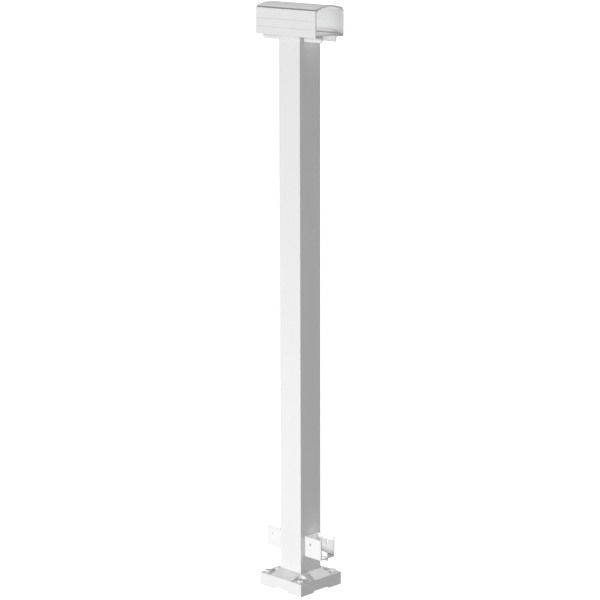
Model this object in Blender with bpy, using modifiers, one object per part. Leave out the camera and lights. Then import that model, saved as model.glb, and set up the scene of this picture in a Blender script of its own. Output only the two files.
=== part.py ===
"""Deck railing post: a square aluminium tube in a cast base, with a short length of crowned top rail
on a support channel, and a bracket on either side for the bottom rail.

Metres, +Z up. The origin is under the middle of the base, and the rails run along X.
"""

import math

import bmesh
import bpy
from mathutils import Matrix, Vector

# The whole post
GUARD_HEIGHT = 1.066
CLEARANCE = 0.0003

# Square tube
POST_SIDE = 0.0525
POST_WALL = 0.0025
POST_EDGE_RADIUS = 0.0012
POST_INNER_RADIUS = 0.0005

# Base casting
BASE_SIDE = 0.1055
SKIRT_HEIGHT = 0.0235
BASE_EDGE_RADIUS = 0.0008
RAMP_RISE = 0.0089
SOCKET_DEPTH = 0.020
PAD_CORNER_RADIUS = 0.009
RELIEF_WIDTH = 0.042
RELIEF_HEIGHT = 0.0033
RELIEF_SLANT = 0.0035

# Anchor screws through the corners of the base
ANCHOR_SPACING = 0.085
ANCHOR_SHANK_DIAMETER = 0.0079
ANCHOR_HOLE_CLEARANCE = 0.0005
ANCHOR_HEAD_ACROSS_FLATS = 0.0095
ANCHOR_HEAD_HEIGHT = 0.0042
ANCHOR_FLANGE_DIAMETER = 0.0135
ANCHOR_FLANGE_HEIGHT = 0.0012
ANCHOR_FLANGE_CONE = 0.0008

# Plate that closes the top of the tube
TOP_PLATE_SIDE = 0.0568
TOP_PLATE_THICKNESS = 0.0033

# Top rail, an inverted U with a crowned top and lips turned in at the bottom
RAIL_LENGTH = 0.147
RAIL_WIDTH = 0.0701
RAIL_SIDE_HEIGHT = 0.0491
RAIL_CROWN_RISE = 0.0061
RAIL_WALL = 0.0023
RAIL_LIP_GAP = 0.038
CROWN_ARC_STEPS = 20
CROWN_QUIRK_HEIGHT = 0.0024
CROWN_QUIRK_FLOOR = 0.0016
CROWN_QUIRK_DEPTH = 0.0026
CROWN_SPRING = 0.0030
SIDE_GROOVE_PLACES = (0.42, 0.715)
SIDE_GROOVE_WIDTH = 0.0016
SIDE_GROOVE_DEPTH = 0.0006

# Support channel under the top rail
CHANNEL_WALL = 0.0021
CHANNEL_DROP = 0.0091
CHANNEL_END_SETBACK = 0.0012
CHANNEL_SIDE_PLAY = 0.0008
CHANNEL_LIP_PLAY = 0.0005
CHANNEL_FLANGE_HEIGHT = 0.0075
CHANNEL_FLANGE_LENGTH = 0.102
CHANNEL_FLANGE_SLANT = 0.016
CHANNEL_POST_PLAY = 0.0012

# Bottom rail brackets
BRACKET_WALL = 0.0025
BRACKET_WIDTH = 0.0358
BRACKET_REACH = 0.0430
BRACKET_BOTTOM = 0.0648
BRACKET_HEIGHT = 0.0372
BRACKET_BEND_RADIUS = 0.0035
BRACKET_RIB_RISE = 0.0086
BRACKET_RIB_DROP = 0.0050
WING_HOLE_DIAMETER = 0.0052
WING_HOLE_NEAR = 0.0160
WING_HOLE_FAR = 0.0260
WING_HOLE_DOWN = 0.0130

# Screws that hold each bracket to the post
BRACKET_SCREW_SHANK_DIAMETER = 0.0048
BRACKET_SCREW_HOLE_CLEARANCE = 0.0004
BRACKET_SCREW_HEAD_DIAMETER = 0.0092
BRACKET_SCREW_HEAD_HEIGHT = 0.0026
BRACKET_SCREW_HEAD_ANGLES = (20, 45, 70)
BRACKET_SCREW_SPACING = 0.0160
BRACKET_SCREW_DOWN = 0.0170

# Places worked out from the sizes above
SOCKET_TOP = SKIRT_HEIGHT + RAMP_RISE
SOCKET_FLOOR = SOCKET_TOP - SOCKET_DEPTH
RAIL_BOTTOM = GUARD_HEIGHT - RAIL_CROWN_RISE - RAIL_SIDE_HEIGHT
PLATE_TOP = RAIL_BOTTOM - CLEARANCE
PLATE_BOTTOM = PLATE_TOP - TOP_PLATE_THICKNESS
TUBE_BOTTOM = SOCKET_FLOOR + CLEARANCE
TUBE_TOP = PLATE_BOTTOM - CLEARANCE
POST_HALF = POST_SIDE / 2
BRACKET_BACK = POST_HALF + CLEARANCE
BRACKET_SCREW_HEIGHT = BRACKET_BOTTOM + BRACKET_HEIGHT - BRACKET_SCREW_DOWN
BRACKET_SCREW_PLACES = {"front": -BRACKET_SCREW_SPACING / 2, "back": BRACKET_SCREW_SPACING / 2}
FAR = 0.5

ALONG_X = Matrix(((0, 0, 1), (1, 0, 0), (0, 1, 0))).to_4x4()
ALONG_Y = Matrix(((1, 0, 0), (0, 0, -1), (0, 1, 0))).to_4x4()


def clear_scene():
    for obj in list(bpy.data.objects):
        bpy.data.objects.remove(obj, do_unlink=True)
    for collection in list(bpy.data.collections):
        bpy.data.collections.remove(collection)


def new_collection(name):
    collection = bpy.data.collections.new(name)
    bpy.context.scene.collection.children.link(collection)
    return collection


def finish(name, color, roughness, metallic):
    """A Principled material with one colour, roughness and metallic value."""
    material = bpy.data.materials.new(name)
    material.use_nodes = True
    shader = material.node_tree.nodes["Principled BSDF"]
    shader.inputs["Base Color"].default_value = (*color, 1.0)
    shader.inputs["Roughness"].default_value = roughness
    shader.inputs["Metallic"].default_value = metallic
    material.diffuse_color = (*color, 1.0)
    return material


def mesh_object(name, shape, collection, material=None):
    """An object from a bmesh, which is freed."""
    bmesh.ops.recalc_face_normals(shape, faces=shape.faces)
    mesh = bpy.data.meshes.new(name)
    shape.to_mesh(mesh)
    shape.free()
    obj = bpy.data.objects.new(name, mesh)
    collection.objects.link(obj)
    if material:
        mesh.materials.append(material)
    return obj


def box_shape(low, high):
    """A bmesh box between two corners."""
    low, high = Vector(low), Vector(high)
    size = high - low
    place = Matrix.Translation((low + high) / 2) @ Matrix.Diagonal((*size, 1))
    shape = bmesh.new()
    bmesh.ops.create_cube(shape, size=1, matrix=place)
    return shape


def cylinder_shape(radius, low, high, sides=24):
    """A bmesh cylinder on the Z axis between two heights."""
    place = Matrix.Translation((0, 0, (low + high) / 2))
    shape = bmesh.new()
    bmesh.ops.create_cone(
        shape, cap_ends=True, segments=sides, radius1=radius, radius2=radius, depth=high - low, matrix=place
    )
    return shape


def extrusion(name, outlines, low, high, collection, material=None, turn=None):
    """Closed outlines in a plane, drawn out at right angles to it from low to high, as one mesh object.

    The first outline is the outside and any others are holes in it.
    """
    curve = bpy.data.curves.new(name, "CURVE")
    curve.dimensions = "2D"
    curve.fill_mode = "BOTH"
    curve.extrude = (high - low) / 2
    for outline in outlines:
        spline = curve.splines.new("POLY")
        spline.points.add(len(outline) - 1)
        for point, (across, up) in zip(spline.points, outline):
            point.co = (across, up, 0, 1)
        spline.use_cyclic_u = True
    drawn = bpy.data.objects.new(name + "_outline", curve)
    collection.objects.link(drawn)
    graph = bpy.context.evaluated_depsgraph_get()
    mesh = bpy.data.meshes.new_from_object(drawn.evaluated_get(graph))
    bpy.data.objects.remove(drawn, do_unlink=True)
    shape = bmesh.new()
    shape.from_mesh(mesh)
    bpy.data.meshes.remove(mesh)
    bmesh.ops.remove_doubles(shape, verts=shape.verts, dist=1e-6)
    place = (turn or Matrix()) @ Matrix.Translation((0, 0, (low + high) / 2))
    bmesh.ops.transform(shape, matrix=place, verts=shape.verts)
    return mesh_object(name, shape, collection, material)


def arc(center, radius, start, end, steps):
    """Points along an arc, angles in degrees."""
    turns = [math.radians(start + (end - start) * step / steps) for step in range(steps + 1)]
    return [(center[0] + radius * math.cos(turn), center[1] + radius * math.sin(turn)) for turn in turns]


def rounded_square(side, radius, steps=3):
    """The outline of a square with rounded corners, about the origin."""
    inner = side / 2 - radius
    corners = ((inner, inner), (-inner, inner), (-inner, -inner), (inner, -inner))
    outline = []
    for number, corner in enumerate(corners):
        outline += arc(corner, radius, 90 * number, 90 * number + 90, steps)
    return outline


def boolean(obj, cutter, operation="DIFFERENCE", use_self=False):
    """Cuts or joins a helper object, which stays hidden. A thin section with walls in line needs use_self."""
    cutter.hide_render = True
    cutter.display_type = "WIRE"
    modifier = obj.modifiers.new(cutter.name, "BOOLEAN")
    modifier.operation = operation
    modifier.object = cutter
    modifier.solver = "EXACT"
    modifier.use_self = use_self


def corner_signs():
    """The four corners, each with the name of its side of the post."""
    for across, side in ((-1, "left"), (1, "right")):
        for along, end in ((-1, "front"), (1, "back")):
            yield across, along, end + "_" + side


def ramp_shape():
    """A low pyramid from the skirt's top edge up to the post, all in one with the skirt under it."""
    foot = BASE_SIDE / 2
    levels = ((foot, 0.0), (foot, SKIRT_HEIGHT), (POST_HALF, SOCKET_TOP))
    shape = bmesh.new()
    rings = []
    for half, height in levels:
        corners = ((half, half), (-half, half), (-half, -half), (half, -half))
        rings.append([shape.verts.new((x, y, height)) for x, y in corners])
    for lower, upper in zip(rings, rings[1:]):
        for number in range(4):
            after = (number + 1) % 4
            shape.faces.new((lower[number], lower[after], upper[after], upper[number]))
    shape.faces.new(reversed(rings[0]))
    shape.faces.new(rings[-1])
    return shape


def pad_cutter(across, along, name, cutters):
    """The space above one corner pad, with a rounded corner next to the post."""
    inner = POST_HALF
    reach = BASE_SIDE
    center = (inner + PAD_CORNER_RADIUS, inner + PAD_CORNER_RADIUS)
    outline = arc(center, PAD_CORNER_RADIUS, 180, 270, 8) + [(reach, inner), (reach, reach), (inner, reach)]
    outline = [(x * across, y * along) for x, y in outline]
    return extrusion(name, [outline], SKIRT_HEIGHT, FAR, cutters)


def base_casting(parts, cutters, material):
    base = mesh_object("base_casting", ramp_shape(), parts, material)
    rounding = base.modifiers.new("edges", "BEVEL")
    rounding.width = BASE_EDGE_RADIUS
    rounding.segments = 2
    rounding.limit_method = "ANGLE"
    rounding.angle_limit = math.radians(50)
    for across, along, corner in corner_signs():
        boolean(base, pad_cutter(across, along, "pad_space_" + corner, cutters))
        hole = cylinder_shape(ANCHOR_SHANK_DIAMETER / 2 + ANCHOR_HOLE_CLEARANCE, -FAR, FAR)
        hole = mesh_object("anchor_hole_" + corner, hole, cutters)
        hole.location = (across * ANCHOR_SPACING / 2, along * ANCHOR_SPACING / 2, 0)
        boolean(base, hole)
    socket = POST_HALF + CLEARANCE
    socket = mesh_object("socket", box_shape((-socket, -socket, SOCKET_FLOOR), (socket, socket, FAR)), cutters)
    boolean(base, socket)
    relief = [
        (-RELIEF_WIDTH / 2 - RELIEF_SLANT, -RELIEF_HEIGHT),
        (RELIEF_WIDTH / 2 + RELIEF_SLANT, -RELIEF_HEIGHT),
        (RELIEF_WIDTH / 2 - RELIEF_SLANT, RELIEF_HEIGHT),
        (-RELIEF_WIDTH / 2 + RELIEF_SLANT, RELIEF_HEIGHT),
    ]
    for name, turn in (("relief_along_x", ALONG_X), ("relief_along_y", ALONG_Y)):
        boolean(base, extrusion(name, [relief], -FAR, FAR, cutters, turn=turn))
    return base


def post_tube(parts, material):
    outlines = [
        rounded_square(POST_SIDE, POST_EDGE_RADIUS),
        rounded_square(POST_SIDE - 2 * POST_WALL, POST_INNER_RADIUS, 1),
    ]
    return extrusion("post_tube", outlines, TUBE_BOTTOM, TUBE_TOP, parts, material)


def post_top_plate(parts, material):
    outline = rounded_square(TOP_PLATE_SIDE, POST_EDGE_RADIUS)
    return extrusion("post_top_plate", [outline], PLATE_BOTTOM, PLATE_TOP, parts, material)


def mirrored_outline(right_half):
    """A closed outline from its right half. Points on the middle line are used once."""
    return right_half + [(-across, up) for across, up in reversed(right_half) if abs(across) > 1e-9]


def crown_arc(half, foot, rise, steps):
    """The right half of a shallow arch over a span of twice half, from its foot to its top."""
    radius = (half * half + rise * rise) / (2 * rise)
    reach = math.asin(half / radius)
    turns = [reach * (1 - step / steps) for step in range(steps + 1)]
    return [(radius * math.sin(turn), foot + rise - radius + radius * math.cos(turn)) for turn in turns]


def top_rail(parts, material):
    half = RAIL_WIDTH / 2
    side_top = RAIL_BOTTOM + RAIL_SIDE_HEIGHT
    inner = half - RAIL_WALL
    lip = RAIL_LIP_GAP / 2
    outside = [(lip, RAIL_BOTTOM), (half, RAIL_BOTTOM)]
    for share in sorted(SIDE_GROOVE_PLACES, reverse=True):
        middle = side_top - share * RAIL_SIDE_HEIGHT
        outside += [
            (half, middle - SIDE_GROOVE_WIDTH / 2),
            (half - SIDE_GROOVE_DEPTH, middle),
            (half, middle + SIDE_GROOVE_WIDTH / 2),
        ]
    outside += [
        (half, side_top - CROWN_QUIRK_HEIGHT),
        (half - CROWN_QUIRK_DEPTH, side_top - (CROWN_QUIRK_HEIGHT + CROWN_QUIRK_FLOOR) / 2),
        (half - CROWN_QUIRK_DEPTH, side_top - (CROWN_QUIRK_HEIGHT - CROWN_QUIRK_FLOOR) / 2),
    ]
    outside += crown_arc(half, side_top, RAIL_CROWN_RISE, CROWN_ARC_STEPS // 2)
    inner_top = side_top - RAIL_WALL
    inside = [(lip, RAIL_BOTTOM + RAIL_WALL), (inner, RAIL_BOTTOM + RAIL_WALL), (inner, inner_top - RAIL_WALL)]
    inside += crown_arc(inner - CROWN_SPRING, inner_top, RAIL_CROWN_RISE, CROWN_ARC_STEPS // 2)
    outline = mirrored_outline(list(reversed(inside)) + outside)
    return extrusion("top_rail", [outline], -RAIL_LENGTH / 2, RAIL_LENGTH / 2, parts, material, ALONG_X)


def rail_support_channel(parts, cutters, material):
    """A web on top of the rail's lips, with low flanges up its sides and two walls down between the lips."""
    web_bottom = RAIL_BOTTOM + RAIL_WALL + CLEARANCE
    web_top = web_bottom + CHANNEL_WALL
    outer = RAIL_WIDTH / 2 - RAIL_WALL - CHANNEL_SIDE_PLAY
    drop_outer = RAIL_LIP_GAP / 2 - CHANNEL_LIP_PLAY
    drop_inner = drop_outer - CHANNEL_WALL
    bottom = RAIL_BOTTOM - CHANNEL_DROP
    right_half = [
        (drop_inner, web_bottom),
        (drop_inner, bottom),
        (drop_outer, bottom),
        (drop_outer, web_bottom),
        (outer, web_bottom),
        (outer, web_bottom + CHANNEL_FLANGE_HEIGHT),
        (outer - CHANNEL_WALL, web_bottom + CHANNEL_FLANGE_HEIGHT),
        (outer - CHANNEL_WALL, web_top),
    ]
    length = RAIL_LENGTH / 2 - CHANNEL_END_SETBACK
    channel = extrusion(
        "rail_support_channel", [mirrored_outline(right_half)], -length, length, parts, material, ALONG_X
    )
    notch = max(TOP_PLATE_SIDE, POST_SIDE) / 2 + CHANNEL_POST_PLAY
    notch_top = RAIL_BOTTOM + RAIL_WALL
    notch = box_shape((-notch, -RAIL_WIDTH, bottom - CHANNEL_WALL), (notch, RAIL_WIDTH, notch_top))
    boolean(channel, mesh_object("post_notch", notch, cutters), use_self=True)
    top = CHANNEL_FLANGE_LENGTH / 2
    flange_height = CHANNEL_FLANGE_HEIGHT - CHANNEL_WALL
    beyond = CHANNEL_FLANGE_SLANT / flange_height * CHANNEL_WALL
    for name, side in (("flange_end_left", -1), ("flange_end_right", 1)):
        outline = [
            (side * (top - beyond), web_top + flange_height + CHANNEL_WALL),
            (side * (top + CHANNEL_FLANGE_SLANT), web_top),
            (side * RAIL_LENGTH, web_top),
            (side * RAIL_LENGTH, web_top + flange_height + CHANNEL_WALL),
        ]
        ends = extrusion(name, [outline], -RAIL_WIDTH, RAIL_WIDTH, cutters, turn=ALONG_Y)
        boolean(channel, ends, use_self=True)
    return channel


def bracket_outline(side):
    """The bracket in plan: a back against the post and a wing on either edge, with bends of true radius."""
    half = BRACKET_WIDTH / 2
    back = BRACKET_BACK
    end = POST_HALF + BRACKET_REACH
    outer_bend = BRACKET_BEND_RADIUS
    inner_bend = BRACKET_BEND_RADIUS - BRACKET_WALL
    center = (back + outer_bend, half - outer_bend)
    upper = [(end, half)] + arc(center, outer_bend, 90, 180, 5)
    lower = [(x, -y) for x, y in reversed(upper)]
    inner = [(end, -half + BRACKET_WALL)]
    inner += [(x, -y) for x, y in arc(center, inner_bend, 90, 180, 3)]
    inner += list(reversed(arc(center, inner_bend, 90, 180, 3)))
    inner.append((end, half - BRACKET_WALL))
    return [(side * x, y) for x, y in upper + lower + inner]


def bottom_rail_bracket(side, name, parts, cutters, material):
    top = BRACKET_BOTTOM + BRACKET_HEIGHT
    bracket = extrusion(name, [bracket_outline(side)], BRACKET_BOTTOM, top, parts, material)
    floor_top = BRACKET_BOTTOM + BRACKET_WALL
    floor_half = BRACKET_WIDTH / 2 - BRACKET_WALL / 2
    near = side * (BRACKET_BACK + BRACKET_WALL / 2)
    end = side * (POST_HALF + BRACKET_REACH)
    added = {
        "_floor": (floor_half, BRACKET_BOTTOM, floor_top),
        "_rib": (BRACKET_WALL / 2, BRACKET_BOTTOM - BRACKET_RIB_DROP, floor_top + BRACKET_RIB_RISE),
    }
    for piece, (half, bottom, height) in added.items():
        shape = box_shape((min(near, end), -half, bottom), (max(near, end), half, height))
        boolean(bracket, mesh_object(name + piece, shape, cutters), "UNION")
    for wing, place in ((-1, "_front_hole"), (1, "_back_hole")):
        out = WING_HOLE_NEAR if wing * side < 0 else WING_HOLE_FAR
        drill = cylinder_shape(WING_HOLE_DIAMETER / 2, 0, BRACKET_WIDTH, 20)
        bmesh.ops.transform(drill, matrix=ALONG_Y, verts=drill.verts)
        drill = mesh_object(name + place, drill, cutters)
        drill.location = (side * (POST_HALF + out), BRACKET_WIDTH * max(wing, 0), top - WING_HOLE_DOWN)
        boolean(bracket, drill)
    for place, along in BRACKET_SCREW_PLACES.items():
        radius = BRACKET_SCREW_SHANK_DIAMETER / 2 + BRACKET_SCREW_HOLE_CLEARANCE
        drill = cylinder_shape(radius, POST_HALF - BRACKET_WALL, POST_HALF + 2 * BRACKET_WALL, 16)
        bmesh.ops.transform(drill, matrix=ALONG_X, verts=drill.verts)
        bmesh.ops.scale(drill, vec=(side, 1, 1), verts=drill.verts)
        drill = mesh_object(name + "_screw_hole_" + place, drill, cutters)
        drill.location = (0, along, BRACKET_SCREW_HEIGHT)
        boolean(bracket, drill)
    return bracket


def turned(name, profile, sides, collection, material):
    """A solid turned about Z from a profile of (radius, height) points that starts and ends on the axis."""
    shape = bmesh.new()
    points = [shape.verts.new((radius, 0, height)) for radius, height in profile]
    edges = [shape.edges.new(pair) for pair in zip(points, points[1:])]
    bmesh.ops.spin(
        shape, geom=points + edges, cent=(0, 0, 0), axis=(0, 0, 1), angle=math.tau, steps=sides, use_merge=True
    )
    bmesh.ops.remove_doubles(shape, verts=shape.verts, dist=1e-6)
    return mesh_object(name, shape, collection, material)


def anchor_screw(across, along, corner, parts, cutters, material):
    """A flanged hexagon head on the pad, over a shank that is cut off flat at the underside of the base."""
    seat = SKIRT_HEIGHT + CLEARANCE
    flange = ANCHOR_FLANGE_DIAMETER / 2
    shank = ANCHOR_SHANK_DIAMETER / 2
    head = ANCHOR_HEAD_ACROSS_FLATS / math.sqrt(3)
    cone_top = flange - ANCHOR_FLANGE_CONE
    profile = [(0, CLEARANCE), (shank, CLEARANCE), (shank, seat), (flange, seat)]
    profile += [(flange, seat + ANCHOR_FLANGE_HEIGHT / 2), (cone_top, seat + ANCHOR_FLANGE_HEIGHT)]
    profile += [(0, seat + ANCHOR_FLANGE_HEIGHT)]
    screw = turned("anchor_screw_" + corner, profile, 24, parts, material)
    top = seat + ANCHOR_HEAD_HEIGHT
    hexagon = cylinder_shape(head, seat + ANCHOR_FLANGE_HEIGHT / 2, top, 6)
    hexagon = mesh_object("hexagon_" + corner, hexagon, cutters)
    boolean(screw, hexagon, "UNION")
    for obj in (screw, hexagon):
        obj.location = (across * ANCHOR_SPACING / 2, along * ANCHOR_SPACING / 2, 0)
    return screw


def bracket_screw(side, name, along, parts, material):
    """A round-headed screw through the back of a bracket, ending flush with the post's outer face."""
    seat = BRACKET_WALL + CLEARANCE
    head = BRACKET_SCREW_HEAD_DIAMETER / 2
    shank = BRACKET_SCREW_SHANK_DIAMETER / 2
    profile = [(0, 0), (shank, 0), (shank, seat), (head, seat)]
    rise = BRACKET_SCREW_HEAD_HEIGHT
    for angle in map(math.radians, BRACKET_SCREW_HEAD_ANGLES):
        profile.append((head * math.cos(angle), seat + rise * math.sin(angle)))
    profile.append((0, seat + rise))
    screw = turned(name, profile, 16, parts, material)
    screw.rotation_euler = (0, side * math.pi / 2, 0)
    screw.location = (side * BRACKET_BACK, along, BRACKET_SCREW_HEIGHT)
    return screw


def build():
    clear_scene()
    parts = new_collection("deck_railing_post")
    cutters = new_collection("cutters")
    white = (0.86, 0.86, 0.86)
    cast_white = finish("white_paint_on_casting", white, 0.45, 0.0)
    tube_white = finish("white_powder_coat_post", white, 0.38, 0.0)
    rail_white = finish("white_powder_coat_rail", white, 0.35, 0.0)
    channel_white = finish("white_powder_coat_channel", white, 0.4, 0.0)
    bracket_white = finish("white_powder_coat_bracket", white, 0.35, 0.0)
    screw_white = finish("white_painted_screws", (0.88, 0.88, 0.88), 0.3, 0.0)
    base_casting(parts, cutters, cast_white)
    post_tube(parts, tube_white)
    post_top_plate(parts, tube_white)
    rail_support_channel(parts, cutters, channel_white)
    top_rail(parts, rail_white)
    for across, along, corner in corner_signs():
        anchor_screw(across, along, corner, parts, cutters, screw_white)
    for side, end in ((-1, "left"), (1, "right")):
        bottom_rail_bracket(side, "bottom_rail_bracket_" + end, parts, cutters, bracket_white)
        for place, along in BRACKET_SCREW_PLACES.items():
            bracket_screw(side, "bracket_screw_" + end + "_" + place, along, parts, screw_white)


build()
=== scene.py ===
# %% [markdown]
# # A deck railing post
#
# This lesson dresses a white aluminium railing post for a studio picture. The post is a square
# tube in a cast base, with a short piece of top rail on a channel and a folded bracket on either
# side.
#
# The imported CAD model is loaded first. It is the fixed frame: each piece modelled here goes
# exactly where its CAD solid is. The main measures are read from the solids. Small ones, such as a
# wall's thickness, are given here with the values that the solids were made with.

# %% Load the frame
import math

import bpy
from mathutils import Matrix, Vector


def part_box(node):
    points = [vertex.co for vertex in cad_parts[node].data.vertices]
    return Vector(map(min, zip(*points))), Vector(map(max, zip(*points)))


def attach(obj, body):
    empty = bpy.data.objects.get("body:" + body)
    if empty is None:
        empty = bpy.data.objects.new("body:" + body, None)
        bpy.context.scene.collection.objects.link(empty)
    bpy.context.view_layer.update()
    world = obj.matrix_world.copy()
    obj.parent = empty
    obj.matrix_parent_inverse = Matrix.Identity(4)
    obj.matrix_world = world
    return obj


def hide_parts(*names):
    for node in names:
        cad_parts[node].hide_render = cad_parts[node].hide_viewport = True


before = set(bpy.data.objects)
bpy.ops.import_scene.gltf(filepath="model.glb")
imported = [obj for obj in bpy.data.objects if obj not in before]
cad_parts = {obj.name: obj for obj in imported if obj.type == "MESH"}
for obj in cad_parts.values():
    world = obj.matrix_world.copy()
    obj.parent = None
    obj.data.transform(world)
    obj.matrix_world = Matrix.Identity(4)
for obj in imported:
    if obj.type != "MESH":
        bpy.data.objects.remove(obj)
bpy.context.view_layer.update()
print("CAD nodes:", ", ".join(sorted(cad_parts)))

# %% [markdown]
# ## The camera
#
# The photograph was taken with a long lens from a little above, across the front corner of the
# post. The camera's place and turn were solved from the corners of the base, the post's edges and
# the rail, so the render lines up with the photograph. A camera looks along its own -Z, with +Y
# up, so its matrix is built from those three directions.

# %% Camera
FRAME_PIXELS = 600
FOCAL_PIXELS = 2233.4
SENSOR_WIDTH = 36.0
CAMERA_PLACE = Vector((2.7593, -2.7910, 1.3678))
CAMERA_AZIMUTH = math.radians(44.674)
CAMERA_PITCH = math.radians(11.972)
CAMERA_ROLL = math.radians(-0.135)

forward = Vector(
    (
        -math.sin(CAMERA_AZIMUTH) * math.cos(CAMERA_PITCH),
        math.cos(CAMERA_AZIMUTH) * math.cos(CAMERA_PITCH),
        -math.sin(CAMERA_PITCH),
    )
)
level = Vector((math.cos(CAMERA_AZIMUTH), math.sin(CAMERA_AZIMUTH), 0))
upward = level.cross(forward)
right_hand = level * math.cos(CAMERA_ROLL) + upward * math.sin(CAMERA_ROLL)
head_up = upward * math.cos(CAMERA_ROLL) - level * math.sin(CAMERA_ROLL)

bpy.ops.object.camera_add()
camera = bpy.context.object
camera.name = "studio_camera"
turned = Matrix((right_hand, head_up, -forward)).transposed().to_4x4()
camera.matrix_world = Matrix.Translation(CAMERA_PLACE) @ turned
camera.data.sensor_width = SENSOR_WIDTH
camera.data.lens = FOCAL_PIXELS / FRAME_PIXELS * SENSOR_WIDTH
bpy.context.scene.camera = camera
print("lens", round(camera.data.lens, 1), "mm")

# %% [markdown]
# ## Measures
#
# The sizes below are worked out from those, or are details that don't show as a corner of a box.

# %% Measures from the CAD boxes
post_low, post_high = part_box("post_tube")
base_low, base_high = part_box("base_casting")
plate_low, plate_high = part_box("post_top_plate")
rail_low, rail_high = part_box("top_rail")
channel_low, channel_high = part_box("rail_support_channel")
bracket_low, bracket_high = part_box("bottom_rail_bracket_right")
anchor_low, anchor_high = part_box("anchor_screw_back_right")
bracket_screw_low, bracket_screw_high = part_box("bracket_screw_right_back")

POST_HALF = post_high.x
BASE_HALF = base_high.x
POST_WALL = 0.0025
POST_EDGE_RADIUS = 0.0012
SKIRT_HEIGHT = 0.0235
RAMP_RISE = base_high.z - SKIRT_HEIGHT
print("post", round(2000 * POST_HALF, 1), "mm square")
print("base", round(2000 * BASE_HALF, 1), "mm square")

# %% [markdown]
# ## Helpers for modelling as by hand
#
# Each step below is one that a modeller does with the mouse: add a primitive, choose faces or
# edges, and run an operator on them. Choosing is done in code, by a test on where a face or edge
# is. An operator acts on everything that is selected, so each new piece starts with nothing
# selected.

# %% Start, pick and put
def start_clean():
    if bpy.context.mode != "OBJECT":
        bpy.ops.object.mode_set(mode="OBJECT")
    bpy.ops.object.select_all(action="DESELECT")


def pick(piece):
    """Selects this piece alone and makes it the active one."""
    start_clean()
    piece.select_set(True)
    bpy.context.view_layer.objects.active = piece


def set_place(piece):
    """Writes the object's place, turn and size into its mesh, so that it sits at the origin."""
    pick(piece)
    bpy.ops.object.transform_apply(location=True, rotation=True, scale=True)


def put(piece, place, turn=0.0, axis="Z"):
    """Turns the piece about an axis through the origin, moves it, and sets its place."""
    piece.matrix_world = Matrix.Translation(place) @ Matrix.Rotation(turn, 4, axis)
    set_place(piece)


print("helpers for a piece's place ready")


# %% Primitives
def block(name, low, high):
    start_clean()
    low, high = Vector(low), Vector(high)
    bpy.ops.mesh.primitive_cube_add(size=1, location=(low + high) / 2, scale=high - low)
    piece = bpy.context.object
    piece.name = name
    set_place(piece)
    return piece


def cylinder(name, radius, low, high, sides=48):
    start_clean()
    bpy.ops.mesh.primitive_cylinder_add(
        vertices=sides, radius=radius, depth=high - low, location=(0, 0, (low + high) / 2)
    )
    piece = bpy.context.object
    piece.name = name
    set_place(piece)
    return piece


print("primitives ready")


# %% Choose faces or edges
UPRIGHT = 0.9


def choose(piece, kind, test):
    """Selects the faces or edges that pass the test, and stays in edit mode.

    It says how many there are.
    """
    pick(piece)
    bpy.ops.object.mode_set(mode="EDIT")
    bpy.ops.mesh.select_mode(type=kind)
    bpy.ops.mesh.select_all(action="DESELECT")
    bpy.ops.object.mode_set(mode="OBJECT")
    mesh = piece.data
    if kind == "FACE":
        for face in mesh.polygons:
            face.select = test(face.center, face.normal)
        count = sum(face.select for face in mesh.polygons)
    else:
        for edge in mesh.edges:
            edge.select = test(*(mesh.vertices[number].co for number in edge.vertices))
        count = sum(edge.select for edge in mesh.edges)
    bpy.ops.object.mode_set(mode="EDIT")
    return count


def facing_up(center, normal):
    return normal.z > UPRIGHT


def facing_down(center, normal):
    return normal.z < -UPRIGHT


print("choosing ready")


# %% Combine and soften
def apply_all(piece):
    pick(piece)
    for modifier in list(piece.modifiers):
        bpy.ops.object.modifier_apply(modifier=modifier.name)


def combine(piece, tool, operation="DIFFERENCE", own_walls=False):
    """Cuts the tool out of the piece, or joins it on, and takes the tool away."""
    modifier = piece.modifiers.new("combine", "BOOLEAN")
    modifier.operation = operation
    modifier.object = tool
    modifier.solver = "EXACT"
    modifier.use_self = own_walls
    apply_all(piece)
    bpy.data.objects.remove(tool, do_unlink=True)


def soften(piece, width, angle=40, smooth=50):
    """Rounds the sharp edges a little, as paint does, and shades smooth between them."""
    modifier = piece.modifiers.new("soften", "BEVEL")
    modifier.width = width
    modifier.segments = 2
    modifier.limit_method = "ANGLE"
    modifier.angle_limit = math.radians(angle)
    modifier.use_clamp_overlap = True
    apply_all(piece)
    bpy.ops.object.shade_smooth_by_angle(angle=math.radians(smooth))
    modifier = piece.modifiers.new("flat_faces_stay_flat", "WEIGHTED_NORMAL")
    modifier.keep_sharp = True
    apply_all(piece)


print("combining and softening ready")

# %% [markdown]
# Extruded aluminium starts as a section that is pushed out through a die. The helper below works
# the same way: it walks round the section with one extrusion for each corner, fills it, and draws
# the face out to its length. The section is drawn flat in XY and turned to lie across X or Y when
# the piece needs it.

# %% Draw a section and push it out
ALONG_X = Matrix(((0, 0, 1), (1, 0, 0), (0, 1, 0))).to_4x4()
ALONG_Y = Matrix(((1, 0, 0), (0, 0, -1), (0, 1, 0))).to_4x4()
ALONG_Z = Matrix()
SEED_SIZE = 0.01


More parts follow.
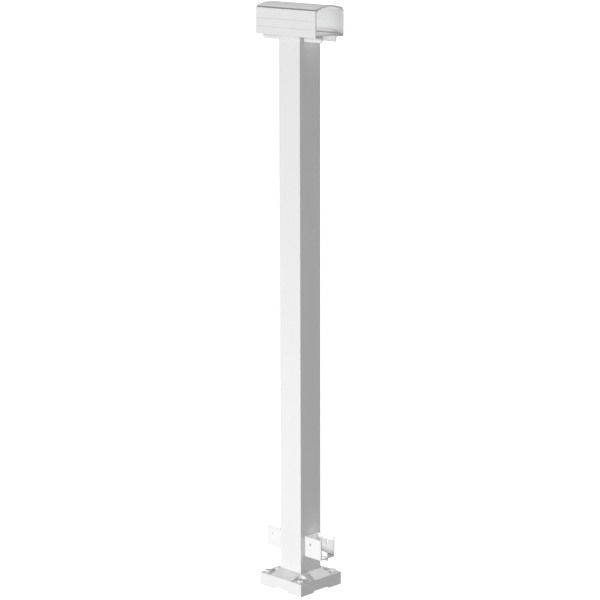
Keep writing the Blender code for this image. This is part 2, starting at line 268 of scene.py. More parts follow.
def pushed_section(name, outline, low, high, direction=ALONG_Z):
    """A small plane is merged to one vertex, which is moved and drawn round the outline."""
    start_clean()
    bpy.ops.mesh.primitive_plane_add(size=SEED_SIZE)
    piece = bpy.context.object
    piece.name = name
    bpy.ops.object.mode_set(mode="EDIT")
    bpy.ops.mesh.select_mode(type="VERT")
    bpy.ops.mesh.select_all(action="SELECT")
    bpy.ops.mesh.merge(type="CENTER")
    places = [Vector((across, up, low)) for across, up in outline]
    bpy.ops.transform.translate(value=places[0])
    for before, after in zip(places, places[1:]):
        bpy.ops.mesh.extrude_vertices_move(TRANSFORM_OT_translate={"value": after - before})
    bpy.ops.mesh.select_all(action="SELECT")
    bpy.ops.mesh.edge_face_add()
    bpy.ops.mesh.extrude_region_move(TRANSFORM_OT_translate={"value": (0, 0, high - low)})
    bpy.ops.mesh.select_all(action="SELECT")
    bpy.ops.mesh.normals_make_consistent(inside=False)
    bpy.ops.object.mode_set(mode="OBJECT")
    piece.matrix_world = direction
    set_place(piece)
    return piece


print("pushed sections ready")

# %% Outlines
ON_MIDDLE_LINE = 1e-9


def arc(center, radius, start, end, steps):
    """Points along an arc, with angles in degrees."""
    x, y = center
    turns = [math.radians(start + (end - start) * step / steps) for step in range(steps + 1)]
    return [(x + radius * math.cos(turn), y + radius * math.sin(turn)) for turn in turns]


def both_halves(right_half):
    """A closed outline from its right half, with points on the middle line used once."""
    mirrored = [(-x, y) for x, y in reversed(right_half) if abs(x) > ON_MIDDLE_LINE]
    return right_half + mirrored


print("outlines ready")

# %% [markdown]
# ## Square tube
#
# The post is a square tube of about 2 inches. A block of its size is hollowed by insetting both
# ends by the wall's thickness and bridging the two inner squares, which opens it right through.
# Then the four long outer edges get the small radius of an extruded tube.

# %% Post tube
CLOSE_BY = 1e-5
SHORTEST_UPRIGHT = 0.001
TUBE_END_EASE = 0.0003


def upright_corner(a, b, half):
    """Whether an edge stands on a corner of a square of this half width."""
    on_corner = all(abs(abs(side) - half) < CLOSE_BY for side in (a.x, a.y, b.x, b.y))
    return on_corner and abs(a.z - b.z) > SHORTEST_UPRIGHT


post = block("square_post", post_low, post_high)
choose(post, "FACE", lambda center, normal: abs(normal.z) > UPRIGHT)
bpy.ops.mesh.inset(thickness=POST_WALL)
bpy.ops.mesh.bridge_edge_loops()
edges = choose(post, "EDGE", lambda a, b: upright_corner(a, b, POST_HALF))
bpy.ops.mesh.bevel(offset=POST_EDGE_RADIUS, segments=5)
soften(post, TUBE_END_EASE, angle=60)
print("post:", edges, "long edges rounded,", len(post.data.polygons), "faces")

# %% [markdown]
# ## Top plate
#
# A flat plate, a little wider than the post, closes the tube and carries the rail. Its upright
# corners are rounded like the post's, and its rims are eased.

# %% Top plate
PLATE_EASE = 0.0004
plate = block("post_cap_plate", plate_low, plate_high)
choose(plate, "EDGE", lambda a, b: upright_corner(a, b, plate_high.x))
bpy.ops.mesh.bevel(offset=POST_EDGE_RADIUS, segments=4)
soften(plate, PLATE_EASE)
print("plate:", len(plate.data.polygons), "faces")

# %% [markdown]
# ## Base casting
#
# The base is a low skirt with four ramps that climb to the post. Its top face is inset until it
# has the post's size, and lifted, which makes all four ramps at once. At each corner a level pad
# is cut into the ramps for a screw, with a round inner corner. Then come the four screw holes, the
# socket for the post, and the shallow relief under each side that lets water out.

# %% Base: skirt and ramps
SKIRT_EDGE_RADIUS = 0.0008
base = block("cast_base", base_low, (BASE_HALF, BASE_HALF, SKIRT_HEIGHT))
choose(base, "FACE", facing_up)
bpy.ops.mesh.inset(thickness=BASE_HALF - POST_HALF)
bpy.ops.transform.translate(value=(0, 0, RAMP_RISE))
choose(base, "EDGE", lambda a, b: upright_corner(a, b, BASE_HALF))
bpy.ops.mesh.bevel(offset=SKIRT_EDGE_RADIUS, segments=3)
print("base after the skirt's bevel:", len(base.data.polygons), "faces")

# %% Base: pads and screw holes
PAD_CORNER_RADIUS = 0.009
ANCHOR_SPACING = 0.085
ANCHOR_HOLE_RADIUS = 0.00445
CUT_REACH = 0.1
CUT_UNDER = 0.01
CORNERS = {
    "front_left": (-1, -1),
    "front_right": (1, -1),
    "back_left": (-1, 1),
    "back_right": (1, 1),
}

pad_middle = POST_HALF + PAD_CORNER_RADIUS
pad_far = 2 * BASE_HALF
pad_outline = arc((pad_middle, pad_middle), PAD_CORNER_RADIUS, 180, 270, 10)
pad_outline += [(pad_far, POST_HALF), (pad_far, pad_far), (POST_HALF, pad_far)]
anchor_places = {
    corner: (across * ANCHOR_SPACING / 2, along * ANCHOR_SPACING / 2, 0)
    for corner, (across, along) in CORNERS.items()
}
for corner, (across, along) in CORNERS.items():
    outline = [(x * across, y * along) for x, y in pad_outline]
    combine(base, pushed_section("pad_space", outline, SKIRT_HEIGHT, CUT_REACH))
    hole = cylinder("screw_hole", ANCHOR_HOLE_RADIUS, -CUT_UNDER, CUT_REACH)
    put(hole, anchor_places[corner])
    combine(base, hole)
print("base with pads and holes:", len(base.data.polygons), "faces")

# %% Base: socket and relief
SOCKET_PLAY = 0.0003
RELIEF_HALF_WIDTH = 0.021
RELIEF_SLANT = 0.0035
RELIEF_HEIGHT = 0.0033
SAME_SPOT = 0.00001
FLAT_ENOUGH = math.radians(0.5)
CAST_EASE = 0.0006

socket = POST_HALF + SOCKET_PLAY
socket_low = (-socket, -socket, post_low.z - SOCKET_PLAY)
combine(base, block("socket", socket_low, (socket, socket, CUT_REACH)))
relief_outline = [
    (-RELIEF_HALF_WIDTH - RELIEF_SLANT, -RELIEF_HEIGHT),
    (RELIEF_HALF_WIDTH + RELIEF_SLANT, -RELIEF_HEIGHT),
    (RELIEF_HALF_WIDTH - RELIEF_SLANT, RELIEF_HEIGHT),
    (-RELIEF_HALF_WIDTH + RELIEF_SLANT, RELIEF_HEIGHT),
]
for direction in (ALONG_X, ALONG_Y):
    combine(base, pushed_section("relief", relief_outline, -CUT_REACH, CUT_REACH, direction))
choose(base, "EDGE", lambda a, b: True)
bpy.ops.mesh.remove_doubles(threshold=SAME_SPOT)
bpy.ops.mesh.dissolve_limited(angle_limit=FLAT_ENOUGH)
soften(base, CAST_EASE, angle=30)
print("base:", len(base.data.polygons), "faces")

# %% [markdown]
# ## Anchor screws
#
# Four screws with a flanged hexagon head hold the base down. The head is a six-sided cylinder with
# a chamfered top and a shallow dish in it, on a round flange with a rounded rim, and the shank
# reaches down to the underside. One is modelled at the origin, and each corner gets a copy with a
# mesh of its own.

# %% One anchor screw
SHANK_RADIUS = 0.00395
FLANGE_RADIUS = (anchor_high.x - anchor_low.x) / 2
FLANGE_HEIGHT = 0.0012
FLANGE_RIM_RADIUS = 0.0006
SEAT_PLAY = 0.0003
HAIR = 1e-6

seat = SKIRT_HEIGHT + SEAT_PLAY
shank_drop = anchor_low.z - seat
screw = cylinder("anchor_screw", FLANGE_RADIUS, seat, seat + FLANGE_HEIGHT)
choose(screw, "FACE", facing_down)
bpy.ops.mesh.inset(thickness=FLANGE_RADIUS - SHANK_RADIUS)
bpy.ops.mesh.extrude_region_move(TRANSFORM_OT_translate={"value": (0, 0, shank_drop)})
rim = choose(screw, "EDGE", lambda a, b: min(a.z, b.z) > seat + FLANGE_HEIGHT - HAIR)
bpy.ops.mesh.bevel(offset=FLANGE_RIM_RADIUS, segments=3)
print("flange rim:", rim, "edges")

# %% Hexagon head
HEAD_ACROSS_FLATS = 0.0095
HEAD_CHAMFER = 0.0006
HEAD_LAND = 0.0012
DISH_SLOPE = 0.0006
DISH_DEPTH = 0.0005
SCREW_EASE = 0.00015

head_corner = HEAD_ACROSS_FLATS / math.sqrt(3)
head_foot = seat + FLANGE_HEIGHT / 2
hexagon = cylinder("hexagon_head", head_corner, head_foot, anchor_high.z, sides=6)
choose(hexagon, "FACE", facing_up)
bpy.ops.mesh.bevel(offset=HEAD_CHAMFER, segments=2)
choose(hexagon, "FACE", facing_up)
bpy.ops.mesh.inset(thickness=HEAD_LAND)
bpy.ops.mesh.inset(thickness=DISH_SLOPE)
bpy.ops.transform.translate(value=(0, 0, -DISH_DEPTH))
combine(screw, hexagon, "UNION")
soften(screw, SCREW_EASE)
print("anchor screw:", len(screw.data.polygons), "faces")


# %% A copy for each corner
def copy_of(piece, name, place=(0, 0, 0), turn=0.0, axis="Z"):
    """A copy with its own mesh, turned about an axis and moved, with its place in its mesh."""
    start_clean()
    twin = piece.copy()
    twin.data = piece.data.copy()
    twin.name = twin.data.name = name
    bpy.context.scene.collection.objects.link(twin)
    put(twin, place, turn, axis)
    return twin


SCREW_TURNS = {"front_left": 8, "front_right": 21, "back_left": 47, "back_right": 33}
anchor_screws = {}
for corner, place in anchor_places.items():
    turn = math.radians(SCREW_TURNS[corner])
    anchor_screws[corner] = copy_of(screw, "flange_screw_" + corner, place, turn)
bpy.data.objects.remove(screw, do_unlink=True)
print("anchor screws at", ", ".join(sorted(anchor_screws)))

# %% [markdown]
# ## Top rail
#
# The rail is an extrusion: an upside-down U with a crowned top, a narrow shadow groove under the
# crown, two fine grooves down each side, and a lip turned in at the bottom of each wall. Half of
# the section is drawn point by point, from the crown's inside down round the lip and up the
# outside, and then mirrored.

# %% Top rail: the outside of the section
RAIL_WALL = 0.0023
RAIL_SIDE_HEIGHT = 0.0491
RAIL_LIP_HALF_GAP = 0.019
QUIRK_HEIGHT, QUIRK_FLOOR, QUIRK_DEPTH = 0.0024, 0.0016, 0.0026
GROOVE_PLACES = (0.715, 0.42)
GROOVE_WIDTH, GROOVE_DEPTH = 0.0016, 0.0006
CROWN_STEPS = 32

rail_half = rail_high.y
side_top = rail_low.z + RAIL_SIDE_HEIGHT
crown_rise = rail_high.z - side_top


def crown_arc(half, foot, rise):
    """The right half of a shallow arch, from its foot to its top."""
    radius = (half * half + rise * rise) / (2 * rise)
    reach = math.asin(half / radius)
    turns = [reach * (1 - step / CROWN_STEPS) for step in range(CROWN_STEPS + 1)]
    middle = foot + rise - radius
    return [(radius * math.sin(turn), middle + radius * math.cos(turn)) for turn in turns]


outside = [(RAIL_LIP_HALF_GAP, rail_low.z), (rail_half, rail_low.z)]
for share in GROOVE_PLACES:
    middle = side_top - share * RAIL_SIDE_HEIGHT
    outside += [
        (rail_half, middle - GROOVE_WIDTH / 2),
        (rail_half - GROOVE_DEPTH, middle),
        (rail_half, middle + GROOVE_WIDTH / 2),
    ]
outside += [
    (rail_half, side_top - QUIRK_HEIGHT),
    (rail_half - QUIRK_DEPTH, side_top - (QUIRK_HEIGHT + QUIRK_FLOOR) / 2),
    (rail_half - QUIRK_DEPTH, side_top - (QUIRK_HEIGHT - QUIRK_FLOOR) / 2),
]
outside += crown_arc(rail_half, side_top, crown_rise)
print("half of the outside:", len(outside), "points")

# %% Top rail: the inside, and the extrusion
CROWN_SPRING = 0.0030
RAIL_EASE = 0.00015

wall_inside = rail_half - RAIL_WALL
lip_top = rail_low.z + RAIL_WALL
inner_top = side_top - RAIL_WALL
inside = [
    (RAIL_LIP_HALF_GAP, lip_top),
    (wall_inside, lip_top),
    (wall_inside, inner_top - RAIL_WALL),
]
inside += crown_arc(wall_inside - CROWN_SPRING, inner_top, crown_rise)
rail_outline = both_halves(list(reversed(inside)) + outside)
rail = pushed_section("crowned_top_rail", rail_outline, rail_low.x, rail_high.x, ALONG_X)
soften(rail, RAIL_EASE, angle=50, smooth=25)
print("rail:", len(rail_outline), "points in the section,", len(rail.data.polygons), "faces")

# %% [markdown]
# ## Support channel
#
# A second extrusion lies inside the rail on its lips. It has low flanges up its sides, which end
# in a slant, and two walls that hang down through the gap between the lips and take the top of an
# infill panel. Where the post comes up, the hanging walls are cut away.

# %% Support channel: the section
CHANNEL_WALL = 0.0021
LIP_PLAY = 0.0005
WEB_PLAY = 0.0003

web_bottom = lip_top + WEB_PLAY
web_top = web_bottom + CHANNEL_WALL
web_half = channel_high.y
wall_outer = RAIL_LIP_HALF_GAP - LIP_PLAY
channel_half = [
    (wall_outer - CHANNEL_WALL, web_bottom),
    (wall_outer - CHANNEL_WALL, channel_low.z),
    (wall_outer, channel_low.z),
    (wall_outer, web_bottom),
    (web_half, web_bottom),
    (web_half, channel_high.z),
    (web_half - CHANNEL_WALL, channel_high.z),
    (web_half - CHANNEL_WALL, web_top),
]
channel_outline = both_halves(channel_half)
channel_ends = (channel_low.x, channel_high.x)
channel = pushed_section("support_channel", channel_outline, *channel_ends, ALONG_X)
print("channel section:", len(channel_outline), "points")

# %% Support channel: the cuts
CHANNEL_FLANGE_HEIGHT = 0.0075
CHANNEL_FLANGE_LENGTH = 0.102
CHANNEL_FLANGE_SLANT = 0.016
POST_PLAY = 0.0012
CHANNEL_EASE = 0.00025

gap = plate_high.x + POST_PLAY
notch_low = (-gap, -rail_half, channel_low.z - CUT_UNDER)
combine(channel, block("post_notch", notch_low, (gap, rail_half, web_bottom)), own_walls=True)
flange_end = CHANNEL_FLANGE_LENGTH / 2
cut_top = web_top + CHANNEL_FLANGE_HEIGHT
slope = CHANNEL_FLANGE_SLANT / (CHANNEL_FLANGE_HEIGHT - CHANNEL_WALL)
beyond = slope * CHANNEL_WALL
for side in (-1, 1):
    end_outline = [
        (side * (flange_end - beyond), cut_top),
        (side * (flange_end + CHANNEL_FLANGE_SLANT), web_top),
        (side * 2 * rail_high.x, web_top),
        (side * 2 * rail_high.x, cut_top),
    ]
    cut = pushed_section("flange_end", end_outline, -CUT_REACH, CUT_REACH, ALONG_Y)
    combine(channel, cut, own_walls=True)
soften(channel, CHANNEL_EASE)
print("channel:", len(channel.data.polygons), "faces")
print("flanges", round(1000 * (channel_high.z - web_top), 1), "mm above the web")

# %% [markdown]
# ## Bottom rail brackets
#
# Each bracket has a back against the post, two wings and a floor with a rib along its middle,
# which the bottom rail drops over. The plan of the back and wings is drawn with true bends and
# pushed upwards; the floor and rib are joined on. One wing's cross hole is near the post and the
# other's is further out, so that two screws from opposite sides miss each other.

# %% The right bracket: back and wings
BRACKET_WALL = 0.0025
BEND_RADIUS = 0.0035
RIB_DROP = 0.0050

wing_half = bracket_high.y
bracket_bottom = bracket_low.z + RIB_DROP
bracket_back, wing_end = bracket_low.x, bracket_high.x
bend_center = (bracket_back + BEND_RADIUS, wing_half - BEND_RADIUS)
upper = [(wing_end, wing_half)] + arc(bend_center, BEND_RADIUS, 90, 180, 8)
inner_bend = arc(bend_center, BEND_RADIUS - BRACKET_WALL, 90, 180, 5)
plan = upper + [(x, -y) for x, y in reversed(upper)]
plan += [(wing_end, -wing_half + BRACKET_WALL)] + [(x, -y) for x, y in inner_bend]
plan += list(reversed(inner_bend)) + [(wing_end, wing_half - BRACKET_WALL)]
bracket = pushed_section("right_rail_bracket", plan, bracket_bottom, bracket_high.z)
print("bracket's plan:", len(plan), "points")

# %% The right bracket: floor and rib
RIB_RISE = 0.0086

middle_of_wall = BRACKET_WALL / 2
inside_back = bracket_back + middle_of_wall
floor_top = bracket_bottom + BRACKET_WALL
floor_low = (inside_back, -wing_half + middle_of_wall, bracket_bottom)
floor_high = (wing_end, wing_half - middle_of_wall, floor_top)
combine(bracket, block("floor", floor_low, floor_high), "UNION")
rib_low = (inside_back, -middle_of_wall, bracket_low.z)
rib_high = (wing_end, middle_of_wall, floor_top + RIB_RISE)
combine(bracket, block("rib", rib_low, rib_high), "UNION")
print("bracket before drilling:", len(bracket.data.polygons), "faces")

# %% Drill the bracket
WING_HOLE_RADIUS = 0.0026
WING_HOLE_PLACES = {-1: 0.0160, 1: 0.0260}
WING_HOLE_DOWN = 0.0130
WING_DRILL_LENGTH = 0.03
BRACKET_SCREW_HOLE_RADIUS = 0.0028
DRILL_BEHIND, DRILL_AHEAD = 0.002, 0.006
QUARTER_TURN = math.pi / 2
BRACKET_EASE = 0.0003

bracket_screw_height = (bracket_screw_low.z + bracket_screw_high.z) / 2
bracket_screw_along = (bracket_screw_low.y + bracket_screw_high.y) / 2
for wing, out in WING_HOLE_PLACES.items():
    drill = cylinder("drill", WING_HOLE_RADIUS, 0, WING_DRILL_LENGTH)
    place = (POST_HALF + out, 0, bracket_high.z - WING_HOLE_DOWN)
    put(drill, place, -wing * QUARTER_TURN, "X")
    combine(bracket, drill)
for side in (-1, 1):
    drill_ends = (POST_HALF - DRILL_BEHIND, POST_HALF + DRILL_AHEAD)
    drill = cylinder("drill", BRACKET_SCREW_HOLE_RADIUS, *drill_ends)
    put(drill, (0, side * bracket_screw_along, bracket_screw_height), QUARTER_TURN, "Y")
    combine(bracket, drill)
soften(bracket, BRACKET_EASE)
left_bracket = copy_of(bracket, "left_rail_bracket", turn=math.pi)
print("brackets:", len(bracket.data.polygons), "faces each")

# %% [markdown]
# ## Bracket screws
#
# Two round-headed screws hold each bracket to the post. The head is a cylinder whose top edge is
# rounded far over, with a cross recess cut by two thin blocks. It is modelled pointing up and then
# turned on its side, once for each bracket.

# %% One bracket screw
HEAD_RADIUS = 0.0046
HEAD_HEIGHT = 0.0026
HEAD_ROUNDING = 0.0018
SCREW_SHANK_RADIUS = 0.0024
BRACKET_SEAT = 0.0028
RECESS_LONG, RECESS_SHORT = 0.0022, 0.0005
RECESS_DEPTH = 0.0014
RECESS_ABOVE = 0.001
RECESS_EASE = 0.0001

head_top = BRACKET_SEAT + HEAD_HEIGHT
pan_screw = cylinder("pan_screw", HEAD_RADIUS, BRACKET_SEAT, head_top)
choose(pan_screw, "EDGE", lambda a, b: min(a.z, b.z) > head_top - HAIR)
bpy.ops.mesh.bevel(offset=HEAD_ROUNDING, segments=6)
choose(pan_screw, "FACE", facing_down)
bpy.ops.mesh.inset(thickness=HEAD_RADIUS - SCREW_SHANK_RADIUS)
bpy.ops.mesh.extrude_region_move(TRANSFORM_OT_translate={"value": (0, 0, -BRACKET_SEAT)})
for half_x, half_y in ((RECESS_LONG, RECESS_SHORT), (RECESS_SHORT, RECESS_LONG)):
    low = (-half_x, -half_y, head_top - RECESS_DEPTH)
    high = (half_x, half_y, head_top + RECESS_ABOVE)
    combine(pan_screw, block("recess", low, high))
soften(pan_screw, RECESS_EASE, angle=50)
print("bracket screw:", len(pan_screw.data.polygons), "faces")

# %% Place the bracket screws
SIDES = {"left": -1, "right": 1}
bracket_screws = {}
for end, side in SIDES.items():
    for row, along in (("front", -bracket_screw_along), ("back", bracket_screw_along)):
        name = end + "_" + row
        place = (side * bracket_back, along, bracket_screw_height)
        turn = side * QUARTER_TURN
        bracket_screws[name] = copy_of(pan_screw, "pan_screw_" + name, place, turn, "Y")
bpy.data.objects.remove(pan_screw, do_unlink=True)
print("bracket screws:", ", ".join(sorted(bracket_screws)))

# %% [markdown]
# ## White paint
#
# Everything is white, so the finishes differ in their grain. Powder coat dries with a fine orange
# peel and a soft gloss; over a sand casting it is rougher, with small pits; on screw heads it is
# smoother. Three noise patterns do it: a wide one that varies the white a little, a finer one that
# varies the gloss, and the grain itself, which lifts the surface through a Bump node. The pits are
# the cells of a Voronoi pattern. All read Object coordinates, so they have the same size on every
# piece.
#
# White on white shows its seams only by their shade, and that shade is painted into the colour
# here. An Ambient Occlusion node says how closed in a place is within a few millimetres, and the
# white is scaled down by it. This is painted shade in seams, grooves and corners. It looks at
# shapes alone, so a seam is as dark from the back as from the front. On most pieces it counts only
# the piece's own shape. On the casting it also counts what stands on it.

# %% Paint: values
SEAM_REACH = 0.004
# With SEAM_REACH above, these set the painted shade in seams: where the darkening starts and ends,
# and how dark the white gets.
SEAM_DEEP, SEAM_OPEN = 0.35, 0.85
SEAM_SHADE = 0.25
NOISE_LOW, NOISE_HIGH = 0.3, 0.7
CLOUD_SCALE, GLOSS_SCALE = 14, 60
GLOSS_SPREAD = 0.04
CLOUD_TINT = (0.975, 0.98, 0.985)
CLEAR_TINT = (1, 1, 0.995)
SPECULAR = 0.5
PIT_SCALE = 0.6
PIT_RADIUS = 0.35
print("seams reach", 1000 * SEAM_REACH, "mm")


# %% Paint with a grain
def paint(
    name, white, gloss, grain_scale, grain_height, pits=0.0, reach=SEAM_REACH, own_seams=True
):
    """White paint with painted shade in its seams. Pits are given as a share of the grain's
    height.
    """
    material = bpy.data.materials.new(name)
    material.use_nodes = True
    nodes, links = material.node_tree.nodes, material.node_tree.links
    shader = nodes["Principled BSDF"]
    place = nodes.new("ShaderNodeTexCoord").outputs["Object"]

    def noise(scale, detail):
        node = nodes.new("ShaderNodeTexNoise")
        node.inputs["Scale"].default_value = scale
        node.inputs["Detail"].default_value = detail
        links.new(place, node.inputs["Vector"])
        return node.outputs["Fac"]

    def mapped(value, start, end, low, high):
        node = nodes.new("ShaderNodeMapRange")
        node.inputs["From Min"].default_value = start
        node.inputs["From Max"].default_value = end
        node.inputs["To Min"].default_value = low
        node.inputs["To Max"].default_value = high
        links.new(value, node.inputs["Value"])
        return node.outputs["Result"]

    tint = nodes.new("ShaderNodeMix")
    tint.data_type = "RGBA"
    for socket, colour in (("A", CLOUD_TINT), ("B", CLEAR_TINT)):
        tint.inputs[socket].default_value = (*(white * share for share in colour), 1)
    links.new(mapped(noise(CLOUD_SCALE, 3), NOISE_LOW, NOISE_HIGH, 0, 1), tint.inputs["Factor"])

    # Painted shade: the white is scaled down where the Ambient Occlusion node finds a place closed
    # in.
    seam = nodes.new("ShaderNodeAmbientOcclusion")
    seam.inputs["Distance"].default_value = reach
    seam.only_local = own_seams
    grey = nodes.new("ShaderNodeVectorMath")
    grey.operation = "SCALE"
    links.new(tint.outputs["Result"], grey.inputs["Vector"])
    painted_seam_shade = mapped(seam.outputs["AO"], SEAM_DEEP, SEAM_OPEN, SEAM_SHADE, 1)
    links.new(painted_seam_shade, grey.inputs["Scale"])
    links.new(grey.outputs["Vector"], shader.inputs["Base Color"])

    matt, shiny = gloss + GLOSS_SPREAD, gloss - GLOSS_SPREAD
    roughness = mapped(noise(GLOSS_SCALE, 2), NOISE_LOW, NOISE_HIGH, shiny, matt)
    links.new(roughness, shader.inputs["Roughness"])
    shader.inputs["Specular IOR Level"].default_value = SPECULAR

    height = noise(grain_scale, 2)
    if pits:
        pit = nodes.new("ShaderNodeTexVoronoi")
        pit.inputs["Scale"].default_value = grain_scale * PIT_SCALE
        links.new(place, pit.inputs["Vector"])
        both = nodes.new("ShaderNodeMath")
        both.operation = "ADD"
        links.new(height, both.inputs[0])
        links.new(mapped(pit.outputs["Distance"], 0, PIT_RADIUS, -pits, 0), both.inputs[1])
        height = both.outputs["Value"]
    bump = nodes.new("ShaderNodeBump")
    bump.inputs["Strength"].default_value = 1.0
    bump.inputs["Distance"].default_value = grain_height
    links.new(height, bump.inputs["Height"])
    links.new(bump.outputs["Normal"], shader.inputs["Normal"])
    print("paint", name, "white", white, "gloss", gloss)
    return material


# %% The paints
WHITE = 0.86
RAIL_WHITE = 0.85
SMALL_PART_WHITE = 0.9
POWDER_GRAIN, FOLDED_GRAIN, CAST_GRAIN, ENAMEL_GRAIN = 700, 800, 420, 900
POWDER_PEEL, CAST_PEEL, ENAMEL_PEEL = 0.00004, 0.00010, 0.00003
CAST_PITS = 0.5
# How far the painted seam shade reaches on the casting and on the screws.
CAST_SEAM_REACH = 0.0016
SCREW_SEAM_REACH = 0.0012

tube_paint = paint("powder_coat_on_tube", WHITE, 0.36, POWDER_GRAIN, POWDER_PEEL)
rail_paint = paint("powder_coat_on_rail", RAIL_WHITE, 0.38, POWDER_GRAIN, POWDER_PEEL)
channel_paint = paint("powder_coat_on_channel", WHITE, 0.42, POWDER_GRAIN, POWDER_PEEL)
bracket_paint = paint(
    "powder_coat_on_brackets", SMALL_PART_WHITE, 0.36, FOLDED_GRAIN, POWDER_PEEL
)
cast_paint = paint(
    "paint_on_casting",
    WHITE,
    0.45,
    CAST_GRAIN,
    CAST_PEEL,
    pits=CAST_PITS,
    reach=CAST_SEAM_REACH,
    own_seams=False,
)
screw_paint = paint(
    "enamel_on_screws",
    SMALL_PART_WHITE,
    0.28,
    ENAMEL_GRAIN,
    ENAMEL_PEEL,
    reach=SCREW_SEAM_REACH,
)

# %% [markdown]
# ## What each piece stands for
#
# Every piece rides on the one body, named root, takes its finish, and replaces the CAD node of the
# same place, which is then hidden.

# %% Ride, paint and replace
dressed = [
    (post, tube_paint, "post_white", "post_tube"),
    (plate, tube_paint, "post_white", "post_top_plate"),
    (base, cast_paint, "cast_white", "base_casting"),
    (rail, rail_paint, "rail_white", "top_rail"),
    (channel, channel_paint, "channel_white", "rail_support_channel"),
    (bracket, bracket_paint, "bracket_white", "bottom_rail_bracket_right"),
    (left_bracket, bracket_paint, "bracket_white", "bottom_rail_bracket_left"),
]
for corner, piece in anchor_screws.items():
    dressed.append((piece, screw_paint, "screw_white", "anchor_screw_" + corner))
for end, piece in bracket_screws.items():
    dressed.append((piece, screw_paint, "screw_white", "bracket_screw_" + end))
for piece, finish, slot, node in dressed:
    piece.data.materials.clear()
    piece.data.materials.append(finish)
    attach(piece, "root")
    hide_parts(node)
    print(piece.name, "stands for", node)

# %% [markdown]
# ## Floor
#
# The photograph has a plain white ground with hardly a shadow. A wide pale floor fills the whole
# picture, because the camera looks down on it. It glows of its own, and the light that the pieces
# scatter doesn't see it, so it stays white and doesn't wash out the shaded side of the post.

# %% Floor
FLOOR_SIZE = 120.0
FLOOR_DROP = 0.0002
FLOOR_GREY = (0.8, 0.8, 0.8, 1)
FLOOR_ROUGHNESS = 0.9
FLOOR_GLOW = 0.85
PURE_WHITE = (1, 1, 1, 1)

start_clean()
bpy.ops.mesh.primitive_plane_add(size=FLOOR_SIZE, location=(0, 0, -FLOOR_DROP))
floor = bpy.context.object
floor.name = "studio_floor"
floor_finish = bpy.data.materials.new("floor_paper")
floor_finish.use_nodes = True
floor_shader = floor_finish.node_tree.nodes["Principled BSDF"]
floor_shader.inputs["Roughness"].default_value = FLOOR_ROUGHNESS
floor_shader.inputs["Base Color"].default_value = FLOOR_GREY
floor_shader.inputs["Emission Color"].default_value = PURE_WHITE
floor_shader.inputs["Emission Strength"].default_value = FLOOR_GLOW
floor.data.materials.append(floor_finish)
floor.visible_diffuse = False
print("floor", FLOOR_SIZE, "m wide")

# %% [markdown]
# ## World and lamps
#
# The world gives an even soft light, and leaves the shaded faces a middle grey. The helpers below
# add a sun at an elevation, straight from the front or the back, and a soft panel. The camera sees
# none of the lamps.

# %% World
WORLD_STRENGTH = 0.346
world = bpy.data.worlds.new("studio_world")
world.use_nodes = True
background = world.node_tree.nodes["Background"]
background.inputs["Color"].default_value = PURE_WHITE
background.inputs["Strength"].default_value = WORLD_STRENGTH
bpy.context.scene.world = world
bpy.context.scene.view_settings.view_transform = "Standard"
print("world strength", WORLD_STRENGTH)

# %% Lamp helpers
SUN_DISTANCE = 3.0
FRONT, BACK = -1, 1


def lamp(name, kind, place, target):
    """A lamp at its place, pointed at its target."""
    bpy.ops.object.light_add(type=kind, location=place)
    light = bpy.context.object
    light.name = name
    light.visible_camera = False
    aim = Vector(target) - Vector(place)
    light.rotation_euler = aim.to_track_quat("-Z", "Y").to_euler()
    print(name, "at", place)
    return light


def sun(name, side, elevation, strength, spread):
    """A sun straight from the front or the back, with its elevation and spread in degrees."""
    rise = math.radians(elevation)
    place = (0, side * SUN_DISTANCE * math.cos(rise), SUN_DISTANCE * math.sin(rise))
    light = lamp(name, "SUN", place, (0, 0, 0))
    light.data.energy = strength
    light.data.angle = math.radians(spread)


def panel(name, place, target, width, height, watts):
    """A soft rectangular lamp, with its sizes in metres."""
    light = lamp(name, "AREA", place, target)
    light.data.shape = "RECTANGLE"
    light.data.size, light.data.size_y = width, height
    light.data.energy = watts


# %% [markdown]
# ## Two suns and a low panel
#
# The front sun stands very low. An upright face then outshines the slope beside it, so the base's
# side is nearly white under grey ramps, and the rail's overhang hardly shades what is under it.
# The back sun is high and sharp. It lights the rail's crown and the ramps, and puts the bracket's
# shadow on the right ramp, where the photograph has a dark band. The panel makes the post whiter
# towards its foot.

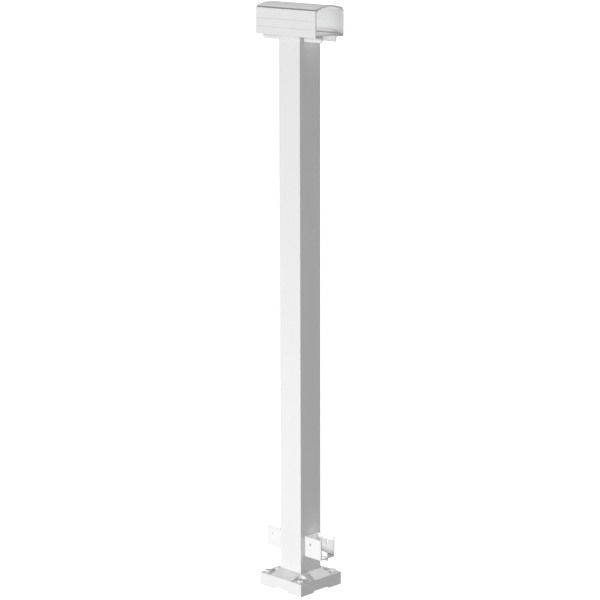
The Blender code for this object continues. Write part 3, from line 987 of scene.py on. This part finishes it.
# %% Suns and the low panel
LOW_PANEL_X, LOW_PANEL_Y, LOW_PANEL_Z = -0.15, -0.8, 0.15

sun("front_sun", FRONT, elevation=11, strength=1.65, spread=10)
sun("back_sun", BACK, elevation=51, strength=1.0, spread=4)
place = (LOW_PANEL_X, LOW_PANEL_Y, LOW_PANEL_Z)
target = (LOW_PANEL_X, 0, LOW_PANEL_Z)
panel("low_front_panel", place, target, width=0.5, height=0.5, watts=1.2)

# %% [markdown]
# ## Light in the hollows
#
# Little light reaches into the rail, between the channel's hanging walls and between the wings of
# the brackets, where the photograph is bright. So faint panels lie in there, each just off the
# near wall or wing and facing the far one, and one on the channel's web that faces up to the
# crown. Those of the channel and the brackets keep to the open ends, so that little of their light
# reaches the post.

# %% Panels in the rail
WALL_GAP = 0.0006
WEB_GAP = 0.001
HIGH_ABOVE = 2

near_wall = -wall_inside + WALL_GAP
rail_middle = (web_top + side_top) / 2
place, target = (0, near_wall, rail_middle), (0, 0, rail_middle)
panel("inside_rail", place, target, width=0.24, height=0.03, watts=0.006)
place, target = (0, 0, web_top + WEB_GAP), (0, 0, HIGH_ABOVE)
panel("inside_crown", place, target, width=0.14, height=0.05, watts=0.021)

# %% Panels in the channel and the brackets
SLOT_PANEL_INSET = 0.0145
WING_PANEL_INSET = 0.0125

slot_panel = channel_high.x - SLOT_PANEL_INSET
near_slot_wall = -wall_outer + CHANNEL_WALL + WALL_GAP
slot_height = (channel_low.z + web_bottom) / 2
wing_panel = wing_end - WING_PANEL_INSET
near_wing = -wing_half + BRACKET_WALL + WALL_GAP
wing_height = (bracket_bottom + bracket_high.z) / 2
for end, side in SIDES.items():
    place = (side * slot_panel, near_slot_wall, slot_height)
    target = (side * slot_panel, 0, slot_height)
    panel("inside_slot_" + end, place, target, width=0.026, height=0.008, watts=0.0036)
    place = (side * wing_panel, near_wing, wing_height)
    target = (side * wing_panel, 0, wing_height)
    panel("inside_bracket_" + end, place, target, width=0.02, height=0.02, watts=0.0047)
